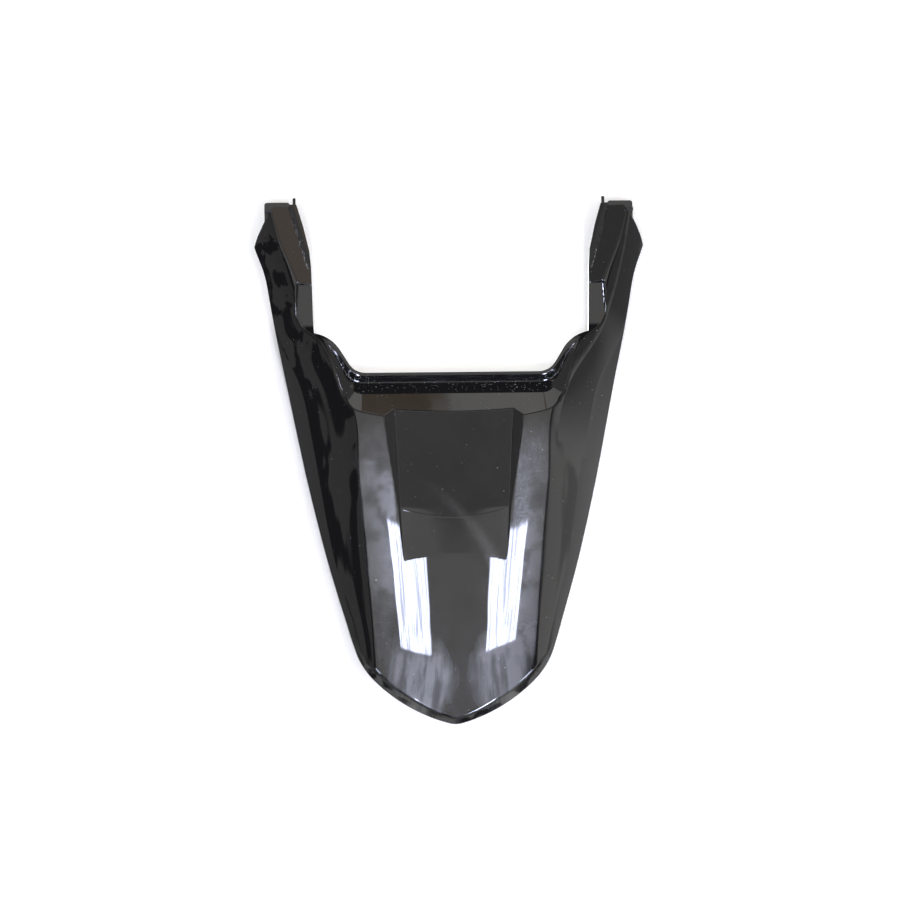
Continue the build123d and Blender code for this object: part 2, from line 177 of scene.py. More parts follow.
@dataclass(frozen=True)
class CowlForm:
    """The moulding's two faces as heights over the plan, in mm.

    x runs across from the middle and d forward from the tip of the tail. The height is the
    lowest of the surfaces that bound the form: deck, side panel, tail wall, sunk panel, seat
    slope with its gutter, ledge, and the facet and flange of the arm. Each edge between two of
    them is rounded over the height of its blend. The steepness is that of the walls in front of
    the ledge, behind the facet and round the flange.
    """

    length: float = 392.5
    stations: tuple[Station, ...] = (
        Station(-14, 69.0, -11.5, 57.6, -2.0),
        Station(20, 70.0, -4.2, 58.8, 5.6),
        Station(57, 75.1, 0, 60.4, 13.0),
        Station(107, 89.7, 0, 63.6, 21.2),
        Station(163, 104.0, 0, 68.2, 29.8),
        Station(194, 110.9, 0, 70.4, 34.5),
        Station(225, 117.2, 0, 71.9, 38.4),
        Station(259, 124.0, 2.0, 84.5, 34.6),
        Station(288, 130.0, 8.0, 99.0, 28.9),
        Station(316, 135.0, 13.0, 112.0, 28.2),
        Station(338, 139.5, 14.5, 118.5, 28.2),
        Station(355, 145.6, 13.0, 125.5, 27.6),
        Station(374, 150.3, 11.4, 130.9, 26.4),
        Station(395, 155.0, 9.4, 136.2, 24.7),
    )
    deck_crown: float = 7.8
    panel_bulge: float = 0.045
    tip_radius: float = 17.0
    flank_radius: float = 126.0
    shoulder_radius: float = 63.3
    tip_turn: float = 15.3
    flank_turn: float = 43.8
    shoulder_turn: float = 73.0
    tail_lean: float = 31.0
    seat_slope: float = 37.6
    lip_height: float = 28.5
    gutter_depth: float = 3.0
    slope_foot: SeatLine = SeatLine(244.0, 66.9, 9.2, 67.0, 11.8, 87.5)
    gutter_bottom: SeatLine = SeatLine(252.7, 66.4, 14.7, 60.0, 9.5, 120.0)
    lip_line: SeatLine = SeatLine(257.8, 65.8, 13.0, 55.6, 8.6, 64.0)
    lip_edge: SeatLine = SeatLine(259.6, 64.1, 14.5, 58.0, 11.8, 29.6)
    lip_edge_bend: float = 46.6
    inner_edge: tuple[Pair, ...] = (
        (102.4, 296.0),
        (103.4, 337.0),
        (104.6, 352.0),
        (109.0, 370.8),
        (114.0, 387.3),
    )
    skin_front: tuple[Pair, ...] = ((145.6, 355.0), (138.0, 372.7), (129.8, 384.8))
    flange_end: float = 387.3
    flange_end_half: float = 118.6
    ledge_height: float = 23.9
    ledge_rear: float = 295.6
    ledge_front: float = 326.2
    ledge_outer: Pair = (114.9, 113.0)
    ledge_rise: float = 9.0
    ledge_rear_run: float = 20.2
    ledge_side_run: float = 3.7
    facet_corner: tuple[float, float, float] = (113.3, 327.7, 28.2)
    facet_slope: Pair = (0.40008, -0.19226)
    flange_rear: Pair = (105.2, 338.3)
    flange_front: Pair = (119.6, 386.3)
    flange_drop: float = 1.4
    panel_half: float = 43.5
    panel_taper: float = 0.052
    panel_bevel: float = 31.0
    panel_front: float = 229.0
    panel_front_height: float = 39.7
    panel_crease: float = 152.0
    floor_slopes: Pair = (0.075, 0.08)
    floor_crown: float = 550.0
    ramp_ends: Pair = (112.0, 165.0)
    ramp_crowns: Pair = (218.0, 657.0)
    probe: float = 0.4
    level_rim_end: float = 225.0
    gutter_fade: Pair = (262.0, 285.0)
    hull_blend: float = 0.3
    wall_blend: float = 1.6
    bevel_blend: float = 0.3
    ramp_blend: float = 0.04
    panel_blend: float = 0.06
    seat_blend: float = 0.4
    seat_blend_aside: float = 0.9
    seat_aside: Pair = (70.0, 82.0)
    ledge_blend: float = 1.4
    ledge_power: float = 6.0
    facet_blend: float = 0.3
    flange_blend: float = 0.2
    arm_blend: float = 0.9
    wall_steepness: tuple[float, float, float] = (6.0, 3.0, 4.0)

    def along_spline(self, field: str) -> Callable[[Array], Array]:
        """One field of the stations as a spline of the distance along."""
        knots = np.array([station.along for station in self.stations])
        return spline_through(knots, np.array([getattr(station, field) for station in self.stations]))

    def crease_half(self, d: Array) -> Array:
        """Half width of the deck."""
        return self.along_spline("crease_half")(d)

    def rim_height(self, d: Array) -> Array:
        """Height of the lower edge: level as far as the waist, then rising with the stations."""
        return np.where(d < self.level_rim_end, 0.0, np.maximum(self.along_spline("rim_height")(d), 0))

    def hull(self, x: Array, d: Array, inset: float) -> Array:
        """Deck and side panel: in each cross-section one circle through the two creases with
        its crown in the middle, and one from crease to rim that bulges by a share of its chord."""
        crease = self.crease_half(d)
        crease_height = self.along_spline("crease_height")(d)
        across = self.along_spline("rim_half")(d) - crease
        down = self.along_spline("rim_height")(d) - crease_height
        crown = self.deck_crown
        deck_radius = (crease**2 + crown**2) / (2 * crown)
        deck_centre = crease_height + crown - deck_radius
        deck = deck_centre + np.sqrt(np.maximum((deck_radius - inset) ** 2 - x**2, 0))
        chord = np.hypot(across, down)
        sagitta = self.panel_bulge * chord
        radius = (chord**2 / 4 + sagitta**2) / (2 * sagitta)
        centre_x = crease + across / 2 + down / chord * (radius - sagitta)
        centre_z = crease_height + down / 2 - across / chord * (radius - sagitta)
        reach = np.maximum(x, centre_x) - centre_x
        side = centre_z + np.sqrt(np.maximum((radius - inset) ** 2 - reach**2, 0))
        return soft_low(deck, side, self.hull_blend)

    def tail_wall(self, x: Array, d: Array, inset: float) -> Array:
        """The leaning wall: its height is the distance inside the outline over tan(lean)."""
        tip = np.array([0.0, self.tip_radius])
        flank = tip + (self.tip_radius - self.flank_radius) * ray(self.tip_turn - 90)
        shoulder = flank + (self.flank_radius - self.shoulder_radius) * ray(self.flank_turn - 90)
        end = ray(self.shoulder_turn - 90)
        around_flank = np.degrees(np.arctan2(d - flank[1], x - flank[0])) + 90
        around_shoulder = np.degrees(np.arctan2(d - shoulder[1], x - shoulder[0])) + 90
        from_tip = self.tip_radius - np.hypot(x - tip[0], d - tip[1])
        from_flank = self.flank_radius - np.hypot(x - flank[0], d - flank[1])
        from_shoulder = self.shoulder_radius - np.hypot(x - shoulder[0], d - shoulder[1])
        passed = (d - shoulder[1]) * end[0] - (x - shoulder[0]) * end[1]
        beside = self.shoulder_radius - (x - shoulder[0]) * end[0] - (d - shoulder[1]) * end[1]
        beside = beside + 0.1 * passed
        inside = np.where(around_flank < self.tip_turn, from_tip, from_flank)
        inside = np.where(around_flank > self.flank_turn, from_shoulder, inside)
        beyond = (around_flank > self.flank_turn) & (around_shoulder > self.shoulder_turn)
        inside = np.where(beyond, beside, inside)
        lean = math.radians(self.tail_lean)
        return (inside - inset / math.cos(lean)) / math.tan(lean)

    def sunk_panel(self, x: Array, d: Array, inset: float) -> Array:
        """The sunk panel: a long crowned floor and a ramp behind it, between bevels.

        The ramp's bend across goes evenly from the floor's to the deck's.
        """
        floor_run = self.panel_front - self.panel_crease
        crease_height = self.panel_front_height - self.floor_slopes[0] * floor_run
        half = self.panel_half - self.panel_taper * (self.panel_front - d)
        ramp_rear, ramp_front = self.ramp_ends
        ramp_share = (np.minimum(d, ramp_front) - ramp_rear) / (ramp_front - ramp_rear)
        ramp_bend = 0.5 / self.ramp_crowns[0] * (1 - ramp_share) + 0.5 / self.ramp_crowns[1] * ramp_share
        floors = []
        for slope, bend in zip(self.floor_slopes, (0.5 / self.floor_crown, ramp_bend)):
            middle = crease_height + slope * (d - self.panel_crease) - inset
            floor = middle - x**2 * bend
            bevel = middle - half**2 * bend + (x - half) * math.tan(math.radians(self.panel_bevel))
            floors.append(soft_high(floor, bevel, self.bevel_blend))
        return soft_low(floors[0], floors[1], self.ramp_blend)

    def seat(self, x: Array, d: Array, inset: float) -> Array:
        """The slope behind the seat and the gutter at its foot.

        Behind the foot the height rises with the distance from it. Between two lines of the
        gutter it runs straight from one line's height to the other's.
        """
        lip = self.lip_height - inset / math.cos(math.radians(self.seat_slope))
        from_foot = self.slope_foot.behind(x, d)
        from_bottom = self.gutter_bottom.behind(x, d)
        from_lip = self.lip_line.behind(x, d)
        depth = self.gutter_depth * (1 - smooth_step(*self.gutter_fade, d))
        rear = depth * from_foot / (np.maximum(from_bottom - from_foot, 0.3))
        front = -depth * from_lip / np.maximum(from_lip - from_bottom, 0.3)
        height = np.where(from_bottom > 0, np.maximum(rear, -depth), np.where(from_lip > 0, front, 0.0))
        slope = from_foot * math.tan(math.radians(self.seat_slope))
        return lip + np.where(from_foot > 0, slope, height)

    def arm(self, x: Array, d: Array, inset: float) -> Array:
        """What bounds the arm from above: the ledge at its waist, its inner facet and its flange."""
        lip = inset / math.cos(math.radians(self.seat_slope))
        share = (d - self.ledge_rear) / (self.ledge_front - self.ledge_rear)
        outer = self.ledge_outer[0] + share * (self.ledge_outer[1] - self.ledge_outer[0])
        rear = np.maximum(self.ledge_rear - d, 0) * self.ledge_rise / self.ledge_rear_run
        side = np.maximum(x - outer, 0) * self.ledge_rise / self.ledge_side_run
        before_ledge, behind_facet, round_flange = self.wall_steepness
        front = np.maximum(d - self.ledge_front, 0) * before_ledge
        power = self.ledge_power
        wall = soft_high((rear**power + side**power) ** (1 / power), 0.0 * d, self.ledge_blend)
        ledge = self.ledge_height - lip + np.maximum(wall, front)
        slope = np.array(self.facet_slope)
        steep = math.sqrt(1 + slope @ slope)
        corner = self.facet_corner
        facet = corner[2] + slope[0] * (x - corner[0]) + slope[1] * (d - corner[1]) - inset * steep
        facet = facet + np.maximum(self.ledge_front - 5 - d, 0) * behind_facet
        start = np.array(self.flange_rear)
        line = np.array(self.flange_front) - start
        reach = math.hypot(*line)
        heading = line / reach
        at_rear = corner[2] + slope @ (start - np.array(corner[:2]))
        fall = slope @ heading
        passed = (x - start[0]) * heading[0] + (d - start[1]) * heading[1]
        outside = (x - start[0]) * heading[1] - (d - start[1]) * heading[0]
        flange = at_rear - self.flange_drop - inset + fall * passed
        flange = flange + round_flange * (np.maximum(outside, 0) + np.maximum(-passed, 0))
        return soft_low(soft_low(ledge, facet, self.facet_blend), flange, self.flange_blend)

    def sharp_height(self, x: Array, d: Array, inset: float) -> Array:
        """Height of one face, with its own roundings only."""
        x = np.abs(x)
        height = soft_low(self.hull(x, d, inset), self.tail_wall(x, d, inset), self.wall_blend)
        height = soft_low(height, self.sunk_panel(x, d, inset), self.panel_blend)
        seat_blend = self.seat_blend + self.seat_blend_aside * smooth_step(*self.seat_aside, x)
        height = soft_low(height, self.seat(x, d, inset), seat_blend)
        return soft_low(height, self.arm(x, d, inset), self.arm_blend)

    def height(self, x: Array, d: Array, inset: float) -> Array:
        """Height of one face, averaged over a small ring so that no edge is a knife edge."""
        total = 2 * self.sharp_height(x, d, inset)
        for turn in range(6):
            step = self.probe * ray(60 * turn + 15)
            total = total + self.sharp_height(x + step[0], d + step[1], inset)
        return total / 8

    def inner_half(self, d: Array) -> Array:
        """Half width of the opening at each place in front of the lip."""
        path = np.vstack([self.lip_edge.points(self.lip_edge_bend), np.array(self.inner_edge)])
        return np.interp(d, path[:, 1], path[:, 0])

    def front_half(self, d: Array) -> Array:
        """Half width at the slanting front edge of the skin."""
        edge = np.array(self.skin_front)
        bend = np.polyfit(edge[:, 1], edge[:, 0], 2)
        return np.where(d > edge[-1, 1] + 0.01, self.flange_end_half, np.polyval(bend, d))


@dataclass(frozen=True)
class SkinGrid:
    """The grid that carries both faces of the moulding.

    Rows run across at one distance along, curved with the tip at the tail. Columns follow the
    sunk panel, the deck crease and the rim, and in front of the lip only the arms are left. The
    counts are of the columns over the panel, its bevel, the raised strip, the crease and the side.
    """

    form: CowlForm
    edge_radius: float = 0.5
    first_row_half: float = 9.0
    halvings: int = 36
    widest: float = 170.0
    bevel_margin: float = 1.2
    crease_margin: float = 1.3
    tail_rows: float = 45.0
    arm_start: Pair = (244.0, 262.0)
    counts: tuple[int, ...] = (11, 13, 16, 7, 24)

    @property
    def first_arm_column(self) -> int:
        """The column at the end of the lip's straight part, where the arm starts."""
        return sum(self.counts[:2])

    @property
    def columns(self) -> int:
        """How many columns there are from the middle to the rim."""
        return sum(self.counts)

    def rows(self) -> tuple[Array, int, int]:
        """Distances of the rows, the row at the lip and the row at the end of the facet."""
        form = self.form
        lip = form.lip_edge.foot
        end = form.skin_front[-1][1]
        tail = 41 * np.linspace(0, 1, 35) ** 1.25
        body = [
            tail,
            np.linspace(41, 112, 37)[1:],
            np.linspace(112, 160, 41)[1:],
            np.linspace(160, 224, 28)[1:],
            np.linspace(224, lip, 72)[1:],
        ]
        arms = [
            lip + (300 - lip) * np.linspace(0, 1, 56)[1:] ** 1.3,
            np.linspace(300, 322, 17)[1:],
            np.linspace(322, 345, 33)[1:],
            np.linspace(345, end, 45)[1:],
            np.linspace(end, form.flange_end, 6)[1:],
        ]
        rear = np.concatenate(body)
        front = np.concatenate(arms)
        return np.concatenate([rear, front]), len(rear) - 1, len(rear) + len(front) - 6

    def rim(self, d: Array, face: Face, row_bend: Array) -> Array:
        """Half width at which a face comes down to the rim, found by halving the interval."""
        form = self.form
        low = np.where(d > form.lip_edge.foot, form.inner_half(d) + 1, 0.5)
        high = np.full_like(low, self.widest)
        for _ in range(self.halvings):
            middle = (low + high) / 2
            place = d + row_bend * self.tip_sag(middle)
            above = form.height(middle, place, face.value) > form.rim_height(place) + self.edge_radius
            low = np.where(above, middle, low)
            high = np.where(above, high, middle)
        return low

    def tip_sag(self, x: Array) -> Array:
        """How far the outline has gone forward at this half width, as far as the first row reaches."""
        form = self.form
        x = np.minimum(np.abs(x), self.first_row_half)
        centre = ray(form.tip_turn - 90) * (form.tip_radius - form.flank_radius)
        tip = form.tip_radius - np.sqrt(form.tip_radius**2 - np.minimum(x, form.tip_radius * 0.9) ** 2)
        flank = form.tip_radius + centre[1] - np.sqrt(form.flank_radius**2 - (x - centre[0]) ** 2)
        return np.where(x < form.tip_radius * math.sin(math.radians(form.tip_turn)), tip, flank)

    def plan(self, face: Face) -> tuple[Array, Array, Array]:
        """Where each vertex of one face lies in plan.

        Returns:
            x and d of every row and column, and the index of each row's last column.
        """
        form = self.form
        rows, lip_row, facet_row = self.rows()
        lean = math.radians(form.tail_lean)
        start = face.value / math.cos(lean) + self.edge_radius * math.tan(lean) + 0.1
        d = rows + start * np.clip(1 - rows / 60, 0, 1) ** 2
        row_bend = np.clip(1 - rows / 34, 0, 1)
        edge = self.rim(d, face, row_bend)
        edge = np.where(rows > form.skin_front[0][1], np.minimum(edge, form.front_half(rows)), edge)
        crease = form.crease_half(d)
        floor = form.panel_half - form.panel_taper * (form.panel_front - np.clip(d, 100, form.panel_front))
        bevel = floor + 2 + 0.075 * np.clip(d - 140, 0, form.panel_front - 140)
        to_lip = smooth_step(form.panel_front, form.lip_edge.foot, d)
        lip_half = form.lip_edge.half
        knots = np.stack(
            [
                np.zeros_like(d),
                (floor - self.bevel_margin) * (1 - to_lip) + 0.8 * lip_half * to_lip,
                (bevel + self.bevel_margin) * (1 - to_lip) + lip_half * to_lip,
                crease - self.crease_margin,
                crease + self.crease_margin,
                edge,
            ]
        )
        anchor = int(np.searchsorted(rows, self.tail_rows))
        shrink = np.where(rows < rows[anchor], edge / edge[anchor], 1.0)
        knots = np.where(rows < rows[anchor], knots[:, anchor : anchor + 1] * shrink, knots)
        spread = np.concatenate([[0.0]] + [k + (np.arange(n) + 1) / n for k, n in enumerate(self.counts)])
        cell = np.minimum(spread.astype(int), 4)
        share = spread - cell
        x = knots[cell].T * (1 - share) + knots[cell + 1].T * share
        first = self.first_arm_column
        even = np.linspace(0, 1, self.columns - first + 1)
        start_x = np.where(rows > form.lip_edge.foot, form.inner_half(rows), knots[2])
        level = start_x[:, None] + (edge - start_x)[:, None] * even
        blend = smooth_step(*self.arm_start, rows)[:, None]
        x[:, first:] = x[:, first:] * (1 - blend) + level * blend
        last = first + self.flange_columns
        flange_share = np.linspace(0, 1, self.flange_columns + 1)[:, None]
        flange = start_x + (form.flange_end_half - start_x) * flange_share
        x[facet_row + 1 :, first : last + 1] = flange.T[facet_row + 1 :]
        return x, d[:, None] + row_bend[:, None] * self.tip_sag(x), np.array([lip_row, facet_row])

    @property
    def flange_columns(self) -> int:
        """How many columns of the arm reach the flange's front end."""
        form = self.form
        start = float(form.inner_half(np.array(form.skin_front[-1][1])))
        share = (form.flange_end_half - start) / (form.skin_front[-1][0] - start)
        return round(share * (self.columns - self.first_arm_column))

    def shown(self, lip_row: int, facet_row: int) -> Array:
        """True for each vertex of the whole width that the moulding has."""
        row = np.arange(len(self.rows()[0]))[:, None]
        column = np.abs(np.arange(-self.columns, self.columns + 1))[None, :]
        arm = (row <= lip_row) | (column >= self.first_arm_column)
        return arm & ((row <= facet_row) | (column <= self.first_arm_column + self.flange_columns))


def both_sides(half: Array, sign: float = 1.0) -> Array:
    """A half width's values with their mirror image put before them, times the sign."""
    return np.concatenate([sign * half[:, :0:-1], half], axis=1)


def mesh_piece(name: str, points: Array, faces: list, normals: Array | None = None) -> bpy.types.Object:
    """A piece from points in mm and faces.

    Args:
        name: the piece's name.
        points: one row of x, y, z for each vertex, in mm.
        faces: a list of vertex numbers for each face.
        normals: one row for each vertex, where the shape's own normals are known.

    Returns:
        The new object, at the origin, riding on the root body.
    """
    mesh = bpy.data.meshes.new(name)
    mesh.from_pydata((points * MM).tolist(), [], faces)
    mesh.polygons.foreach_set("use_smooth", np.ones(len(faces), bool))
    if normals is not None:
        mesh.normals_split_custom_set_from_vertices(normals.tolist())
    mesh.update()
    piece = bpy.data.objects.new(name, mesh)
    bpy.context.scene.collection.objects.link(piece)
    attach(piece, "root")
    return piece


@dataclass(frozen=True)
class CowlSkin:
    """The moulded shell: both faces of the wall and the rounded edge that joins them."""

    form: CowlForm
    grid: SkinGrid
    free_edge: float = 0.3

    def face(self, face: Face) -> tuple[Array, Array]:
        """Points and outward normals of one face over the whole width.

        The normal is (-dz/dx, -dz/dy, 1) made one long, with the slopes from differences of the
        height over a short step, and it is turned round for the inner face.
        """
        form = self.form
        x, d, _ = self.grid.plan(face)
        step = 0.1
        z = form.height(x, d, face.value)
        slopes = []
        for dx, dd in ((step, 0), (0, step)):
            rise = form.height(x + dx, d + dd, face.value) - form.height(x - dx, d - dd, face.value)
            slopes.append(rise / (2 * step))
        slope_x, slope_y = slopes
        slope_x[:, 0] = 0
        points = np.stack([both_sides(x, -1), both_sides(d) - form.length / 2, both_sides(z)], axis=-1)
        upward = np.ones(points.shape[:2])
        normals = np.stack([-both_sides(slope_x, -1), -both_sides(slope_y), upward], axis=-1)
        normals /= np.linalg.norm(normals, axis=-1, keepdims=True)
        return points, normals if face is Face.OUTER else -normals

    def outward(self, points: Array, edges: Array, rim: Array) -> Array:
        """The way the free edge faces at each vertex: down at the rim, and away from the
        moulding in plan elsewhere, square to the two boundary edges that meet there."""
        along = points[edges[:, 1]] - points[edges[:, 0]]
        square = np.stack([along[:, 1], -along[:, 0], np.zeros(len(edges))], axis=1)
        square /= np.maximum(np.linalg.norm(square, axis=1, keepdims=True), 1e-9)
        total = np.zeros_like(points)
        np.add.at(total, edges[:, 0], square)
        np.add.at(total, edges[:, 1], square)
        total[rim] = (0, 0, -1)
        return total / np.maximum(np.linalg.norm(total, axis=1, keepdims=True), 1e-9)

    def build(self) -> bpy.types.Object:
        """The shell as one closed mesh.

        Each free edge runs from the outer to the inner face along a profile with two rounded
        corners: a share of the way across, and a part of the edge radius outward.
        """
        _, _, ends = self.grid.plan(Face.OUTER)
        shown = self.grid.shown(int(ends[0]), int(ends[1]))
        number = np.cumsum(shown).reshape(shown.shape) - 1
        count = int(shown.sum())
        outer, outer_normals = self.face(Face.OUTER)
        inner, inner_normals = self.face(Face.INNER)
        whole = shown[:-1, :-1] & shown[:-1, 1:] & shown[1:, 1:] & shown[1:, :-1]
        corners = (number[:-1, :-1], number[:-1, 1:], number[1:, 1:], number[1:, :-1])
        top = np.stack([corner[whole] for corner in corners], axis=1)
        edges = np.concatenate([top[:, [k, (k + 1) % 4]] for k in range(4)])
        forward_key = edges[:, 0] * count + edges[:, 1]
        edges = edges[~np.isin(forward_key, edges[:, 1] * count + edges[:, 0])]
        rows = np.broadcast_to(np.arange(shown.shape[0])[:, None], shown.shape)[shown]
        from_middle = np.abs(np.arange(shown.shape[1]) - self.grid.columns)
        columns = np.broadcast_to(from_middle, shown.shape)[shown]
        wing = int(np.searchsorted(self.grid.rows()[0], self.form.skin_front[0][1]))
        rim = (rows == 0) | ((columns == self.grid.columns) & (rows < wing))
        outward = self.outward(outer[shown], edges, rim)
        border = np.unique(edges)
        start, finish = outer[shown][border], inner[shown][border]
        across = finish - start
        width = np.linalg.norm(across, axis=1)
        radius = np.where(rim[border], self.grid.edge_radius, self.free_edge)
        profile = ((0.3, 0.7), (1.0, 1.0), (-1.0, 1.0), (-0.3, 0.7))
        strips, strip_normals = [], []
        for share, bulge in profile:
            part = radius * abs(share) / width
            part = part if share > 0 else 1 - part
            strips.append(start + across * part[:, None] + outward[border] * (radius * bulge)[:, None])
            face_normal = outer_normals[shown][border] if share > 0 else inner_normals[shown][border]
            normal = outward[border] + face_normal * (0.9 if abs(share) < 0.5 else 0.0)
            strip_normals.append(normal / np.linalg.norm(normal, axis=1, keepdims=True))
        points = np.concatenate([outer[shown], inner[shown]] + strips)
        normals = np.concatenate([outer_normals[shown], inner_normals[shown]] + strip_normals)
        place = np.zeros(count, int)
        place[border] = np.arange(len(border))
        rings = [edges] + [2 * count + k * len(border) + place[edges] for k in range(4)] + [count + edges]
        walls = [np.stack([a[:, 1], a[:, 0], b[:, 0], b[:, 1]], axis=1) for a, b in zip(rings, rings[1:])]
        faces = np.concatenate([top, count + top[:, ::-1]] + walls)
        return mesh_piece("cowl_shell", points, faces.tolist(), normals)


def tube_faces(rings: int, around: int) -> Array:
    """Faces of a closed skin over rings of the same count of points, each ring outside the last."""
    row, column = np.meshgrid(np.arange(rings - 1), np.arange(around), indexing="ij")
    after = (column + 1) % around
    here = row * around
    there = here + around
    quads = [here + column, here + after, there + after, there + column]
    return np.stack(quads, axis=-1).reshape(-1, 4)


def capped_tube(name: str, rings: Array) -> bpy.types.Object:
    """A solid piece from rings of points, closed at both ends with a fan round the ring's middle.

    Args:
        name: the piece's name.
        rings: points by ring, by place round it, by coordinate, in mm, anticlockwise as seen
            from the last ring.
    """
    count, around, _ = rings.shape
    ends = np.stack([rings[0].mean(axis=0), rings[-1].mean(axis=0)])
    points = np.concatenate([rings.reshape(-1, 3), ends])
    here = np.arange(around)
    after = (here + 1) % around
    first = np.stack([after, here, np.full(around, count * around)], axis=1)
    last = (count - 1) * around
    end = np.stack([last + here, last + after, np.full(around, count * around + 1)], axis=1)
    return mesh_piece(name, points, tube_faces(count, around).tolist() + first.tolist() + end.tolist())


def soften(piece: bpy.types.Object, width: float, segments: int = 3) -> None:
    """Rounds the sharp edges of a piece by this width in mm, and keeps its flat faces flat."""
    bevel = piece.modifiers.new("rounded_edges", "BEVEL")
    bevel.width = width * MM
    bevel.segments = segments
    bevel.limit_method = "ANGLE"
    bevel.angle_limit = math.radians(40)
    bevel.harden_normals = True


@dataclass(frozen=True)
class UnderFrame:
    """Screw bosses and stiffening ribs under the deck, with their tops inside the wall."""

    form: CowlForm
    half: float = 40.0
    rear: float = 95.0
    front: float = 236.0
    radius: float = 4.5
    bore: float = 2.1
    depth: float = 12.0
    foot: float = 6.0
    thickness: float = 1.8
    rear_foot: float = 12.0
    front_foot: float = 20.0
    around: int = 48

    def top(self, x: Array, d: Array) -> Array:
        """Height half way through the wall."""
        return self.form.height(x, d, Face.INNER.value / 2)

    def boss(self, name: str, x: float, d: float) -> bpy.types.Object:
        """A tube that is closed above its bore, from profile points swept round its axis.

        Where a point's height is None, it lies half way through the wall.
        """
        ease = 0.3
        pole = 0.05
        profile = (
            (pole, self.foot + self.depth),
            (self.bore, self.foot + self.depth),
            (self.bore, self.foot + ease),
            (self.bore + ease, self.foot),
            (self.radius - ease, self.foot),
            (self.radius, self.foot + ease),
            (self.radius, None),
            (pole, None),
        )
        turn = np.linspace(0, 2 * math.pi, self.around, endpoint=False)
        rings = []
        for radius, height in profile:
            ring_x, ring_d = x + radius * np.cos(turn), d + radius * np.sin(turn)
            height = self.top(ring_x, ring_d) if height is None else np.full_like(turn, height)
            rings.append(np.column_stack([ring_x, ring_d, height]))
        rings = np.stack(rings)
        rings[..., 1] -= self.form.length / 2
        return capped_tube(name, rings)

    def rib(self, name: str, start: Pair, end: Pair, feet: Pair) -> bpy.types.Object:
        """A thin upright wall from start to end in plan, with a foot height at each end."""
        share = np.linspace(0, 1, 60)
        line = np.array(start) + share[:, None] * (np.array(end) - np.array(start))
        along = np.array(end) - np.array(start)
        along = along / np.linalg.norm(along)
        across = np.array([along[1], -along[0]]) * self.thickness / 2
        foot = feet[0] + share * (feet[1] - feet[0])
        rings = []
        for side, rise in ((-1, 0.25), (-0.75, 0.0), (0.75, 0.0), (1, 0.25), (1, None), (-1, None)):
            place = line + across * side
            height = foot + rise if rise is not None else self.top(place[:, 0], place[:, 1])
            rings.append(np.column_stack([place[:, 0], place[:, 1] - self.form.length / 2, height]))
        return capped_tube(name, np.stack(rings, axis=1))

    def build(self) -> list[bpy.types.Object]:
        """Four bosses and the frame of four ribs between them."""
        half, rear, front = self.half, self.rear, self.front
        pieces = []
        for side, x in (("left", -half), ("right", half)):
            pieces.append(self.boss(f"boss_rear_{side}", x, rear))
            pieces.append(self.boss(f"boss_front_{side}", x, front))
            feet = (self.rear_foot, self.front_foot)
            pieces.append(self.rib(f"rib_{side}", (x, rear), (x, front), feet))
        for name, d, foot in (("rib_rear", rear, self.rear_foot), ("rib_front", front, self.front_foot)):
            pieces.append(self.rib(name, (-half, d), (half, d), (foot, foot)))
        return pieces


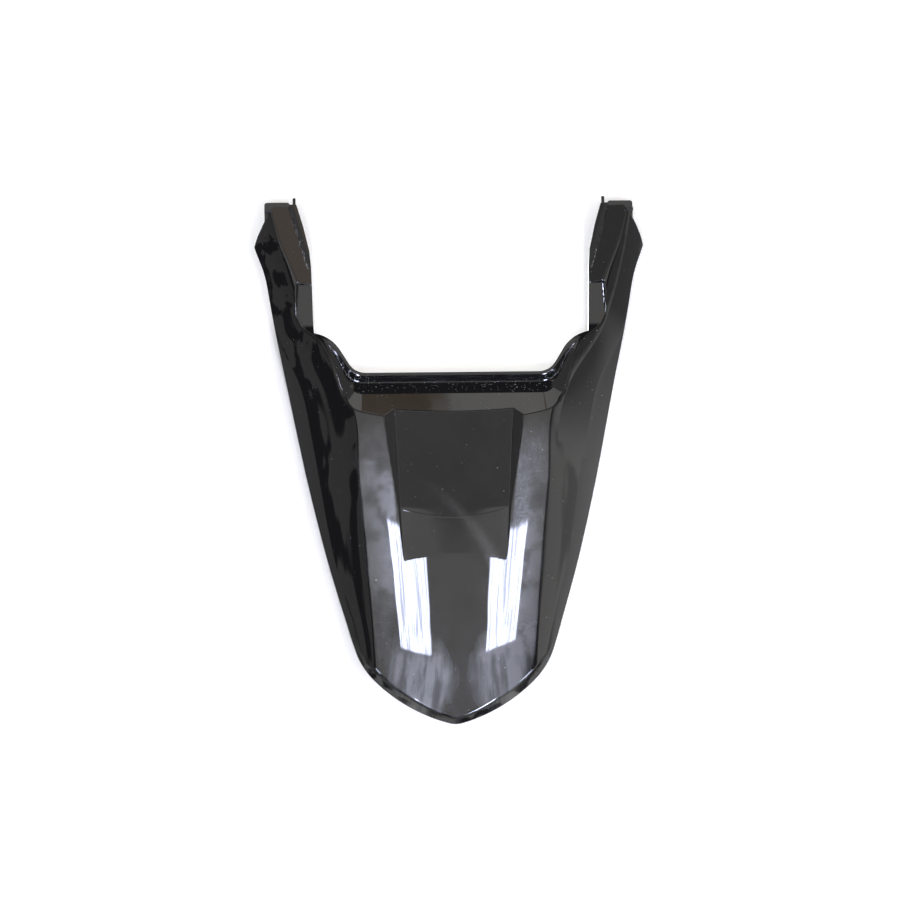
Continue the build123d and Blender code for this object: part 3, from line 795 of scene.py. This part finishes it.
@dataclass(frozen=True)
class ArmFixings:
    """Tongue with its rib and web, and the locating peg, at the front of one arm."""

    form: CowlForm
    wall: float = 2.6
    tongue_inner: float = 118.7
    tongue_outer: float = 137.6
    tongue_rear: float = 362.0
    tongue_front: float = 389.1
    tongue_top: float = 17.5
    tongue_corner: float = 2.0
    web_front: float = 383.2
    peg_radius: float = 1.2
    peg_half: float = 115.4
    peg_root: float = 379.0

    def upright(self, name: str, side: int, x: Pair, d: Pair) -> bpy.types.Object:
        """A wall that stands on the tongue's underside and ends inside the skin above it."""
        low = self.tongue_top - self.wall
        share = np.linspace(0, 1, 12)
        long_way = 0 if x[1] - x[0] > d[1] - d[0] else 1
        corners = ((0, 0), (1, 0), (1, 1), (0, 1))
        rings = []
        for part in share:
            ring = []
            for across, high in corners:
                place_x = x[0] + (x[1] - x[0]) * (part if long_way == 0 else across)
                place_d = d[0] + (d[1] - d[0]) * (across if long_way == 0 else part)
                top = float(self.form.height(np.array([place_x]), np.array([place_d]), self.wall / 2)[0])
                height = max(top, low + 1) if high else low
                ring.append((side * place_x, place_d - self.form.length / 2, height))
            rings.append(ring)
        rings = np.array(rings)
        turned = (long_way == 0) == (side > 0)
        return capped_tube(name, rings[::-1] if turned else rings)

    def tongue(self, name: str, side: int) -> bpy.types.Object:
        """The flat tongue, with its two front corners rounded in plan."""
        radius = self.tongue_corner
        arc = radius * np.stack([ray(turn) for turn in np.linspace(0, 90, 7)])
        right = np.array([self.tongue_outer - radius, self.tongue_front - radius]) + arc
        left = np.array([self.tongue_inner + radius, self.tongue_front - radius]) + arc[::-1] * (-1, 1)
        rear = [(self.tongue_inner, self.tongue_rear), (self.tongue_outer, self.tongue_rear)]
        plan = np.vstack([rear, right, left])[::side]
        rings = []
        for height in (self.tongue_top - self.wall, self.tongue_top):
            heights = np.full(len(plan), height)
            rings.append(np.column_stack([side * plan[:, 0], plan[:, 1] - self.form.length / 2, heights]))
        piece = capped_tube(name, np.stack(rings))
        soften(piece, 0.25)
        return piece

    def peg(self, name: str, side: int) -> bpy.types.Object:
        """Round peg along the moulding's length, with a chamfered end."""
        form = self.form
        above = form.height(np.array([self.peg_half]), np.array([form.flange_end - 1.0]), 0.0)[0]
        below = above - self.wall / 2
        profile = (
            (self.peg_radius, self.peg_root),
            (self.peg_radius, form.length - 0.5),
            (0.75, form.length),
        )
        turn = np.linspace(0, 2 * math.pi, 32, endpoint=False)
        rings = [
            np.stack(
                [
                    side * self.peg_half - radius * np.cos(turn),
                    np.full_like(turn, along - form.length / 2),
                    below + radius * np.sin(turn),
                ],
                axis=1,
            )
            for radius, along in profile
        ]
        piece = capped_tube(name, np.stack(rings))
        soften(piece, 0.12)
        return piece

    def build(self) -> list[bpy.types.Object]:
        """Both arms' fixings."""
        pieces = []
        for side, word in ((-1, "left"), (1, "right")):
            pieces.append(self.tongue(f"tongue_{word}", side))
            rib_x = (self.tongue_inner, self.tongue_inner + self.wall)
            rib_d = (self.tongue_rear, self.web_front)
            pieces.append(self.upright(f"tongue_rib_{word}", side, rib_x, rib_d))
            web_x = (self.tongue_inner, self.tongue_outer)
            web_d = (self.web_front - self.wall, self.web_front)
            pieces.append(self.upright(f"tongue_web_{word}", side, web_x, web_d))
            pieces.append(self.peg(f"peg_{word}", side))
        return pieces


class Value:
    """A number in a node tree. Arithmetic on it adds the node that works it out."""

    def __init__(self, graph: "Graph", socket: bpy.types.NodeSocket) -> None:
        """Keeps the graph, and the socket that gives the number."""
        self.graph = graph
        self.socket = socket

    def __add__(self, other) -> "Value":
        """This and the other."""
        return self.graph.math("ADD", self, other)

    def __sub__(self, other) -> "Value":
        """This less the other."""
        return self.graph.math("SUBTRACT", self, other)

    def __rsub__(self, other) -> "Value":
        """The other less this."""
        return self.graph.math("SUBTRACT", other, self)

    def __mul__(self, other) -> "Value":
        """This times the other."""
        return self.graph.math("MULTIPLY", self, other)

    def __truediv__(self, other) -> "Value":
        """This over the other."""
        return self.graph.math("DIVIDE", self, other)

    def __abs__(self) -> "Value":
        """This without its sign."""
        return self.graph.math("ABSOLUTE", self)

    __radd__ = __add__
    __rmul__ = __mul__

    def step(self, low: float, high: float) -> "Value":
        """0 at low and 1 at high, with a soft start and end."""
        node = self.graph.node("ShaderNodeMapRange", interpolation_type="SMOOTHSTEP")
        self.graph.feed(node.inputs["Value"], self)
        ends = (low, high, 0.0, 1.0) if high > low else (high, low, 1.0, 0.0)
        for name, end in zip(("From Min", "From Max", "To Min", "To Max"), ends):
            node.inputs[name].default_value = end
        return Value(self.graph, node.outputs[0])

    def inside(self, low: float, high: float, edge: float) -> "Value":
        """1 between low and high, falling to 0 over the edge on either side."""
        return self.step(low - edge, low + edge) * self.step(high + edge, high - edge)

    def blend(self, low, high) -> "Value":
        """low where this is 0, high where it is 1."""
        return (1.0 - self) * low + self * high


class Graph:
    """A node tree that is written as formulas."""

    def __init__(self, tree: bpy.types.NodeTree) -> None:
        """Keeps the tree that the nodes go into."""
        self.tree = tree

    def node(self, kind: str, **settings) -> bpy.types.Node:
        """A new node of this kind with these settings."""
        node = self.tree.nodes.new(kind)
        for name, value in settings.items():
            setattr(node, name, value)
        return node

    def feed(self, socket: bpy.types.NodeSocket, value) -> None:
        """Links a socket, or sets it where the value is a plain one."""
        value = value.socket if isinstance(value, Value) else value
        if isinstance(value, bpy.types.NodeSocket):
            self.tree.links.new(value, socket)
        else:
            socket.default_value = value

    def math(self, operation: str, *values) -> Value:
        """One operation on numbers."""
        node = self.node("ShaderNodeMath", operation=operation)
        for socket, value in zip(node.inputs, values):
            self.feed(socket, value)
        return Value(self, node.outputs[0])

    def vector(self, *parts) -> bpy.types.NodeSocket:
        """A vector of three numbers."""
        node = self.node("ShaderNodeCombineXYZ")
        for socket, value in zip(node.inputs, parts):
            self.feed(socket, value)
        return node.outputs[0]

    def parts(self, vector) -> list[Value]:
        """The three parts of a vector."""
        node = self.node("ShaderNodeSeparateXYZ")
        self.feed(node.inputs[0], vector)
        return [Value(self, socket) for socket in node.outputs]

    def noise(self, place, scale: float, detail: float) -> Value:
        """Smooth noise between 0 and 1."""
        node = self.node("ShaderNodeTexNoise")
        self.feed(node.inputs["Vector"], place)
        node.inputs["Scale"].default_value = scale
        node.inputs["Detail"].default_value = detail
        return Value(self, node.outputs[0])

    def object_place(self) -> bpy.types.NodeSocket:
        """Object coordinates, in metres."""
        return self.node("ShaderNodeTexCoord").outputs["Object"]

    def path(self, kind: str) -> Value:
        """1 for rays of this kind, such as Is Camera Ray."""
        return Value(self, self.node("ShaderNodeLightPath").outputs[kind])


@dataclass(frozen=True)
class HazePatch:
    """An oval of haze on the deck, by its centre and half sizes across and from the tip, in mm."""

    across: float
    along: float
    half_width: float
    half_length: float
    amount: float


@dataclass(frozen=True)
class GlossBlack:
    """Gloss black plastic as it comes out of the mould, with the handling that the photograph shows.

    The gloss is sharp. A thin second gloss stands for haze from wiping, fine scratches and
    finger marks, and dust lies in the gutter and thinly over the deck. Places are in metres.
    """

    colour: tuple[float, float, float] = (0.007, 0.007, 0.008)
    dust_colour: float = 0.45
    dust_roughness: float = 0.8
    dust_share: float = 0.004
    roughness: float = 0.012
    haze_front_roughness: float = 0.25
    haze_rear_roughness: float = 0.4
    haze_low: float = 0.01
    haze_cover: float = 0.08
    patches: tuple[HazePatch, ...] = (
        HazePatch(-57.0, 155.0, 22.0, 64.0, 1.0),
        HazePatch(59.0, 172.0, 20.0, 52.0, 0.65),
        HazePatch(55.0, 95.0, 16.0, 50.0, 1.1),
        HazePatch(-54.0, 85.0, 16.0, 52.0, 0.45),
        HazePatch(-26.0, 34.0, 24.0, 30.0, 1.4),
        HazePatch(33.0, 38.0, 22.0, 32.0, 1.3),
    )
    noise_plane: float = 0.0137
    wipe_place: Pair = (0.034, 0.092)
    wipe_bend: float = 7.4
    bead_place: float = 0.152
    bead_bend: float = 4.2
    bead_height: float = 0.000032
    wave_height: float = 0.00006
    length: float = CowlForm.length * MM

    def specks(self, graph: Graph, place, cell: float, size: float, share) -> Value:
        """Round specks of this size in mm, one at most to a cell, in this share of the cells."""
        node = graph.node("ShaderNodeTexVoronoi", feature="F1")
        graph.feed(node.inputs["Vector"], place)
        node.inputs["Scale"].default_value = 1000.0 / cell
        chosen = graph.parts(node.outputs["Color"])[0]
        round_spot = Value(graph, node.outputs["Distance"]).step(size / cell, 0.6 * size / cell)
        return round_spot * graph.math("LESS_THAN", chosen, share)

    def haze(self, graph: Graph, place) -> Value:
        """How hazy each place is: cloudy patches on the deck, streaks near the tail and a curved wipe.

        The clouds are noise on turned plan coordinates at one height, so they run on evenly over
        slopes and steps. The patches lie on the raised strips, and right across near the tail.
        """
        x, y, _ = graph.parts(place)
        from_tip = y + self.length / 2
        deck = (abs(x) - from_tip * 0.097).inside(-0.2, 0.053, 0.0015)
        beside_panel = (abs(x) - from_tip * 0.1).step(0.0265, 0.0285)
        raised = graph.math("MAXIMUM", beside_panel, from_tip.step(0.13, 0.12))
        cover = self.haze_cover
        for patch in self.patches:
            side = (x - patch.across * MM) * (1 / (patch.half_width * MM))
            way = (from_tip - patch.along * MM) * (1 / (patch.half_length * MM))
            cover = cover + (side * side + way * way).step(1.5, 0.0) * raised * patch.amount
        flat = graph.vector(x * 0.8 + y * 0.6, y * 0.8 - x * 0.6, self.noise_plane)
        cloud = graph.noise(flat, 48.0, 8.0).step(0.34, 0.64)
        fine = graph.noise(flat, 420.0, 3.0).step(0.3, 0.7)
        lean = (x - 0.006) * (from_tip * 4.0 + 1.0)
        streaks = graph.noise(graph.vector(lean * 5.0, y, self.noise_plane), 26.0, 6.0).step(0.3, 0.66)
        clouds = cloud * fine.blend(0.6, 1.3)
        texture = from_tip.step(0.085, 0.035).blend(clouds, streaks * cloud.blend(0.6, 1.2))
        bow = from_tip - self.wipe_place[1]
        from_wipe = x - self.wipe_place[0] + bow * bow * self.wipe_bend
        wipe = from_wipe.inside(-0.001, 0.001, 0.0075) * from_tip.inside(0.1, 0.165, 0.022) * 1.6
        marks = deck * texture.blend(0.22, 1.1) * cover
        return graph.math("MINIMUM", marks + wipe * fine.blend(0.5, 1.0) + self.haze_low, 1.0)

    def dust(self, graph: Graph, place) -> Value:
        """1 on each speck of dust: many in the gutter, some on the slope, few elsewhere."""
        x, y, z = graph.parts(place)
        from_tip = y + self.length / 2
        in_gutter = from_tip.inside(0.2455, 0.2525, 0.001) * abs(x).inside(-0.1, 0.07, 0.002)
        on_slope = from_tip.inside(0.226, 0.256, 0.002)
        fine = self.specks(graph, place, 0.9, 0.2, in_gutter * 0.3 + on_slope * 0.012 + self.dust_share)
        coarse = self.specks(graph, place, 4.5, 0.32, in_gutter * 0.4 + 0.05)
        return graph.math("MAXIMUM", fine, coarse) * z.step(0.004, 0.008)

    def relief(self, graph: Graph, place) -> Value:
        """Height in metres of the skin's slight waves and of the bead along the sunk panel's crease."""
        x, y, z = graph.parts(place)
        wave = graph.noise(graph.vector(x * 1.6, y, z), 28.0, 1.0)
        from_bead = y + self.length / 2 - self.bead_place - x * x * self.bead_bend
        bead = from_bead.inside(-0.0003, 0.0003, 0.0005) * abs(x).inside(-0.1, 0.0385, 0.001)
        return wave * self.wave_height + bead * self.bead_height

    def material(self) -> bpy.types.Material:
        """The finish as a material on Object coordinates."""
        material = bpy.data.materials.new("gloss_black_plastic")
        material.use_nodes = True
        graph = Graph(material.node_tree)
        shader = material.node_tree.nodes["Principled BSDF"]
        place = graph.object_place()
        dust = self.dust(graph, place)
        base = [dust.blend(part, self.dust_colour) for part in self.colour]
        graph.feed(shader.inputs["Base Color"], graph.vector(*base))
        rough = graph.noise(place, 900.0, 2.0) * 0.02 + self.roughness
        graph.feed(shader.inputs["Roughness"], dust.blend(rough, self.dust_roughness))
        shader.inputs["IOR"].default_value = 1.5
        graph.feed(shader.inputs["Coat Weight"], self.haze(graph, place))
        rear = (graph.parts(place)[1] + self.length / 2).step(0.09, 0.03)
        spread = rear.blend(self.haze_front_roughness, self.haze_rear_roughness)
        graph.feed(shader.inputs["Coat Roughness"], spread)
        bump = graph.node("ShaderNodeBump")
        bump.inputs["Strength"].default_value = 1.0
        bump.inputs["Distance"].default_value = 1.0
        graph.feed(bump.inputs["Height"], self.relief(graph, place))
        graph.feed(shader.inputs["Normal"], bump.outputs[0])
        return material


@dataclass(frozen=True)
class LightBank:
    """A ceiling light as a window in the directions x/z and y/z, with ribs along its length.

    Its front edge may slant, so it is given at the left and at the right.
    """

    left: float
    right: float
    front_left: float
    front_right: float
    rear: float = -0.372
    strength: float = 34.0


@dataclass(frozen=True)
class Glint:
    """A lamp that only gloss sees, on either side: turns from straight ahead and rises, in degrees."""

    near: float
    far: float
    low: float
    high: float
    strength: float


class Room:
    """How bright the room is in each direction.

    Each part is placed by the height z, the slopes u = x/z and v = y/z, the turn round Z from
    straight ahead, and the rise above the floor.
    """

    bright_turns = ((-45.0, 0.8), (2.8, 33.0), (80.0, 200.0))

    def __init__(self, graph: Graph) -> None:
        """Works out the measures of the direction."""
        self.graph = graph
        x, y, self.z = graph.parts(graph.node("ShaderNodeTexCoord").outputs["Generated"])
        above = graph.math("MAXIMUM", self.z, 0.001)
        self.u = x / above
        self.v = y / above
        self.turn = graph.math("ARCTAN2", x, y)
        self.rise = graph.math("ARCSINE", self.z)
        self.corner_right = self.turn.inside(0.75, 1.15, 0.1)

    def ceiling(self) -> Value:
        """Pale, dimmer ahead, and dimmest overhead, where the sunk panel sees it."""
        overhead = self.v.inside(-0.105, 0.06, 0.02) * self.u.inside(-0.25, 0.3, 0.03)
        return overhead.blend(self.v.step(0.2, 0.26).blend(1.45, 0.75), 0.68)

    def wall(self) -> Value:
        """Dark upper walls with two paler corners, and lower walls that are bright in some turns.

        At the sides dark blotches cover the wall, sharply on the left and softly on the right.
        """
        turn, z = self.turn, self.z
        bright = sum(
            turn.inside(math.radians(low), math.radians(high), 0.006) for low, high in self.bright_turns
        )
        corner_left = turn.inside(-1.1, -0.7, 0.1)
        middle = abs(turn).inside(1.3, 1.95, 0.1) * z.step(0.66, 0.6) * 0.4
        upper = self.corner_right * 0.95 + 0.05 + corner_left * 0.45 + middle
        wall = z.step(0.36, 0.46).blend(bright.blend(0.5, 1.6), upper)
        shapes = self.graph.noise(self.graph.vector(turn * 5.0, self.rise * 1.6, 3.1), 2.4, 2.0)
        cover = turn.step(1.2, 1.3).blend(shapes.step(0.45, 0.49), shapes.step(0.34, 0.5).blend(0.6, 1.0))
        return wall * (abs(turn).step(1.1, 1.3) * (1.0 - cover)).blend(1.0, 0.12)

    def brown(self) -> Value:
        """1 where the room is brown: low and just right of straight ahead, and in the right corner."""
        low = self.turn.inside(0.014, 0.047, 0.004) * self.z.step(0.3, 0.24)
        return self.graph.math("MAXIMUM", low, self.corner_right * self.z.step(0.46, 0.52) * 0.6)

    def bank(self, bank: LightBank) -> Value:
        """One ribbed ceiling light."""
        u, v, graph = self.u, self.v, self.graph
        share = (u - bank.left) / (bank.right - bank.left)
        ribs = graph.noise(graph.vector(share, v * 0.6, bank.left), 24.0, 2.0).step(0.38, 0.56)
        front = share.blend(bank.front_left, bank.front_right)
        window = u.inside(bank.left, bank.right, 0.004) * v.step(bank.rear - 0.003, bank.rear + 0.003)
        window = window * (v - front).step(0.002, -0.002)
        return window * ribs.blend(0.42, 1.0) * graph.math("GREATER_THAN", self.z, 0.3) * bank.strength

    def glint(self, glint: Glint) -> Value:
        """One pair of small lamps."""
        ends = (glint.near, glint.far, glint.low, glint.high)
        near, far, low, high = (math.radians(value) for value in ends)
        window = abs(self.turn).inside(near, far, 0.004) * self.rise.inside(low, high, 0.004)
        return window * self.graph.path("Is Glossy Ray") * glint.strength


def stage_face(name: str, surface: str, corners: list[tuple[float, float, float]]) -> tuple:
    """A face of the studio, with a material that has no shader yet.

    Args:
        name: the object's name.
        surface: the material's name.
        corners: the four corners in metres, anticlockwise as seen from its front.

    Returns:
        The object and the graph of its material.
    """
    mesh = bpy.data.meshes.new(name)
    mesh.from_pydata(corners, [], [(0, 1, 2, 3)])
    face = bpy.data.objects.new(name, mesh)
    bpy.context.scene.collection.objects.link(face)
    material = bpy.data.materials.new(surface)
    material.use_nodes = True
    material.node_tree.nodes.remove(material.node_tree.nodes["Principled BSDF"])
    mesh.materials.append(material)
    return face, Graph(material.node_tree)


@dataclass(frozen=True)
class Studio:
    """Floor, board, light and camera.

    The board's place is its side, rear, front and top in mm. The tints are for red, green and
    blue: what each is multiplied by in the plain room, in its brown part and in the lamps.
    """

    distance: float = 2200.0
    elevation: float = 85.0
    sideways: float = 2.9
    roll: float = -0.9
    pixel_mm: float = 0.747
    aim: tuple[float, float, float] = (-1.2, 8.1, 0.0)
    floor_drop: float = 0.3
    floor_half: float = 30.0
    floor_colour: float = 0.8
    floor_glow: float = 0.4
    painted_shadow_reach: float = 12.0
    gap_painted_light: float = 0.6
    gap_glint: float = 6.0
    board_place: tuple[float, float, float, float] = (550.0, -50.0, 900.0, 200.0)
    banks: tuple[LightBank, ...] = (
        LightBank(-0.33, -0.115, -0.269, -0.256),
        LightBank(0.265, 0.492, -0.257, -0.281),
    )
    glints: tuple[Glint, ...] = (
        Glint(82.5, 86.0, 1.0, 13.0, 110.0),
        Glint(58.5, 61.5, 23.0, 34.0, 30.0),
        Glint(154.0, 166.0, 38.0, 52.0, 90.0),
        Glint(126.0, 132.0, 30.0, 50.0, 20.0),
    )
    tints: tuple[tuple[float, float, float], ...] = (
        (1.02, 1.3, 0.86),
        (1.0, 0.98, 0.93),
        (0.97, 0.7, 1.24),
    )

    def floor(self) -> bpy.types.Object:
        """A plain white floor, large enough for every view.

        The camera sees its shaded colour and a steady glow. Close to the moulding, mostly along
        its left, the glow fades as a painted contact shadow; in the seat gap it is stronger, as
        painted light that washes out the moulding's shadow there. Gloss on the moulding sees a
        dim floor instead: bright in the seat gap, paler on the right, and patchy behind the tail.
        """
        half = self.floor_half
        signs = ((-1, -1), (1, -1), (1, 1), (-1, 1))
        corners = [(across * half, along * half, -self.floor_drop * MM) for across, along in signs]
        floor, graph = stage_face("floor", "floor_white", corners)
        x, y, _ = graph.parts(graph.object_place())
        seat_gap = abs(x).inside(-1.0, 0.102, 0.002) * y.inside(0.066, 0.2, 0.004)
        nearby = graph.node("ShaderNodeAmbientOcclusion", samples=8)
        nearby.inputs["Distance"].default_value = self.painted_shadow_reach * MM
        # Painted contact shadow: the camera's glow fades where the moulding closes in, mostly along its
        # left.
        closed = Value(graph, nearby.outputs["AO"]).step(0.99, 0.8)
        shade = closed * x.step(-0.055, -0.085).blend(0.12, 1.0)
        # Painted light in the seat gap: a stronger glow that washes out the moulding's shadow on the floor
        # there.
        lit = seat_gap.blend((1.0 - shade) * self.floor_glow, self.gap_painted_light)
        diffuse = graph.node("ShaderNodeBsdfDiffuse")
        diffuse.inputs["Color"].default_value = (self.floor_colour,) * 3 + (1.0,)
        glow = graph.node("ShaderNodeEmission")
        graph.feed(glow.inputs["Strength"], graph.path("Is Camera Ray") * lit)
        seen = graph.node("ShaderNodeAddShader")
        graph.feed(seen.inputs[0], diffuse.outputs[0])
        graph.feed(seen.inputs[1], glow.outputs[0])
        sideways = x.step(-0.02, 0.02).blend(0.5, y.step(-0.02, 0.08).blend(1.35, 0.85))
        behind = y.step(-0.13, -0.17) * x.inside(-0.25, 0.25, 0.05)
        patches = graph.noise(graph.object_place(), 55.0, 3.0).step(0.46, 0.54).blend(0.05, 0.9)
        dim = graph.node("ShaderNodeEmission")
        graph.feed(dim.inputs["Strength"], seat_gap.blend(behind.blend(sideways, patches), self.gap_glint))
        mixed = graph.node("ShaderNodeMixShader")
        graph.feed(mixed.inputs[0], graph.path("Is Glossy Ray"))
        graph.feed(mixed.inputs[1], seen.outputs[0])
        graph.feed(mixed.inputs[2], dim.outputs[0])
        graph.feed(graph.tree.nodes["Material Output"].inputs[0], mixed.outputs[0])
        return floor

    def board(self) -> bpy.types.Object:
        """An upright board on the right, pale at the rear and dark in front, which only gloss sees."""
        side, rear, front, top = (value * MM for value in self.board_place)
        corners = [(side, front, 0.0), (side, rear, 0.0), (side, rear, top), (side, front, top)]
        board, graph = stage_face("board", "board_grey", corners)
        for kind in ("camera", "diffuse", "transmission", "volume_scatter", "shadow"):
            setattr(board, f"visible_{kind}", False)
        glow = graph.node("ShaderNodeEmission")
        y = graph.parts(graph.object_place())[1]
        graph.feed(glow.inputs["Strength"], y.step(-0.05, 0.025).blend(1.55, 0.5))
        graph.feed(graph.tree.nodes["Material Output"].inputs[0], glow.outputs[0])
        return board

    def camera(self) -> bpy.types.Object:
        """The camera at the photograph's angle, turned so that the tail leans a little to the right."""
        data = bpy.data.cameras.new("camera")
        camera = bpy.data.objects.new("camera", data)
        bpy.context.scene.collection.objects.link(camera)
        data.sensor_width = 36.0
        data.lens = 36.0 * self.distance / (900 * self.pixel_mm)
        data.clip_end = 100
        lean = math.radians(90 - self.elevation)
        side = math.radians(self.sideways)
        back = Vector((-math.tan(side), -math.tan(lean), 1.0)).normalized()
        right = Vector((0, 1, 0)).cross(back).normalized()
        turn = Matrix((right, back.cross(right), back)).transposed().to_4x4()
        roll = Matrix.Rotation(math.radians(self.roll), 4, "Z")
        place = (Vector(self.aim) + back * self.distance) * MM
        camera.matrix_world = Matrix.Translation(place) @ turn @ roll
        bpy.context.scene.camera = camera
        return camera

    def light(self) -> None:
        """The room with its two ceiling lights and its small lamps, and plain white for the camera."""
        world = bpy.data.worlds.new("room")
        world.use_nodes = True
        bpy.context.scene.world = world
        graph = Graph(world.node_tree)
        room = Room(graph)
        plain = room.z.step(0.76, 0.83).blend(room.wall(), room.ceiling())
        lamps = sum([room.bank(bank) for bank in self.banks] + [room.glint(glint) for glint in self.glints])
        brown = room.brown()
        seen = graph.path("Is Camera Ray")
        parts = []
        for plain_tint, brown_tint, lamp_tint in self.tints:
            part = plain * brown.blend(plain_tint, brown_tint) + lamps * lamp_tint
            parts.append(seen.blend(part, 1.0))
        graph.feed(world.node_tree.nodes["Background"].inputs["Color"], graph.vector(*parts))


def main() -> None:
    """Builds the moulding and the studio, and reports each piece."""
    scene = bpy.context.scene
    scene.view_settings.view_transform = "Standard"
    form = CowlForm()
    shell = CowlSkin(form, SkinGrid(form)).build()
    finish = GlossBlack().material()
    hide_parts("tail_cowl")
    for piece in [shell] + UnderFrame(form).build() + ArmFixings(form).build():
        piece.data.materials.append(finish)
        log.info("%s: %d faces", piece.name, len(piece.data.polygons))
    studio = Studio()
    studio.floor()
    studio.board()
    studio.camera()
    studio.light()


if __name__ == "__main__":
    main()
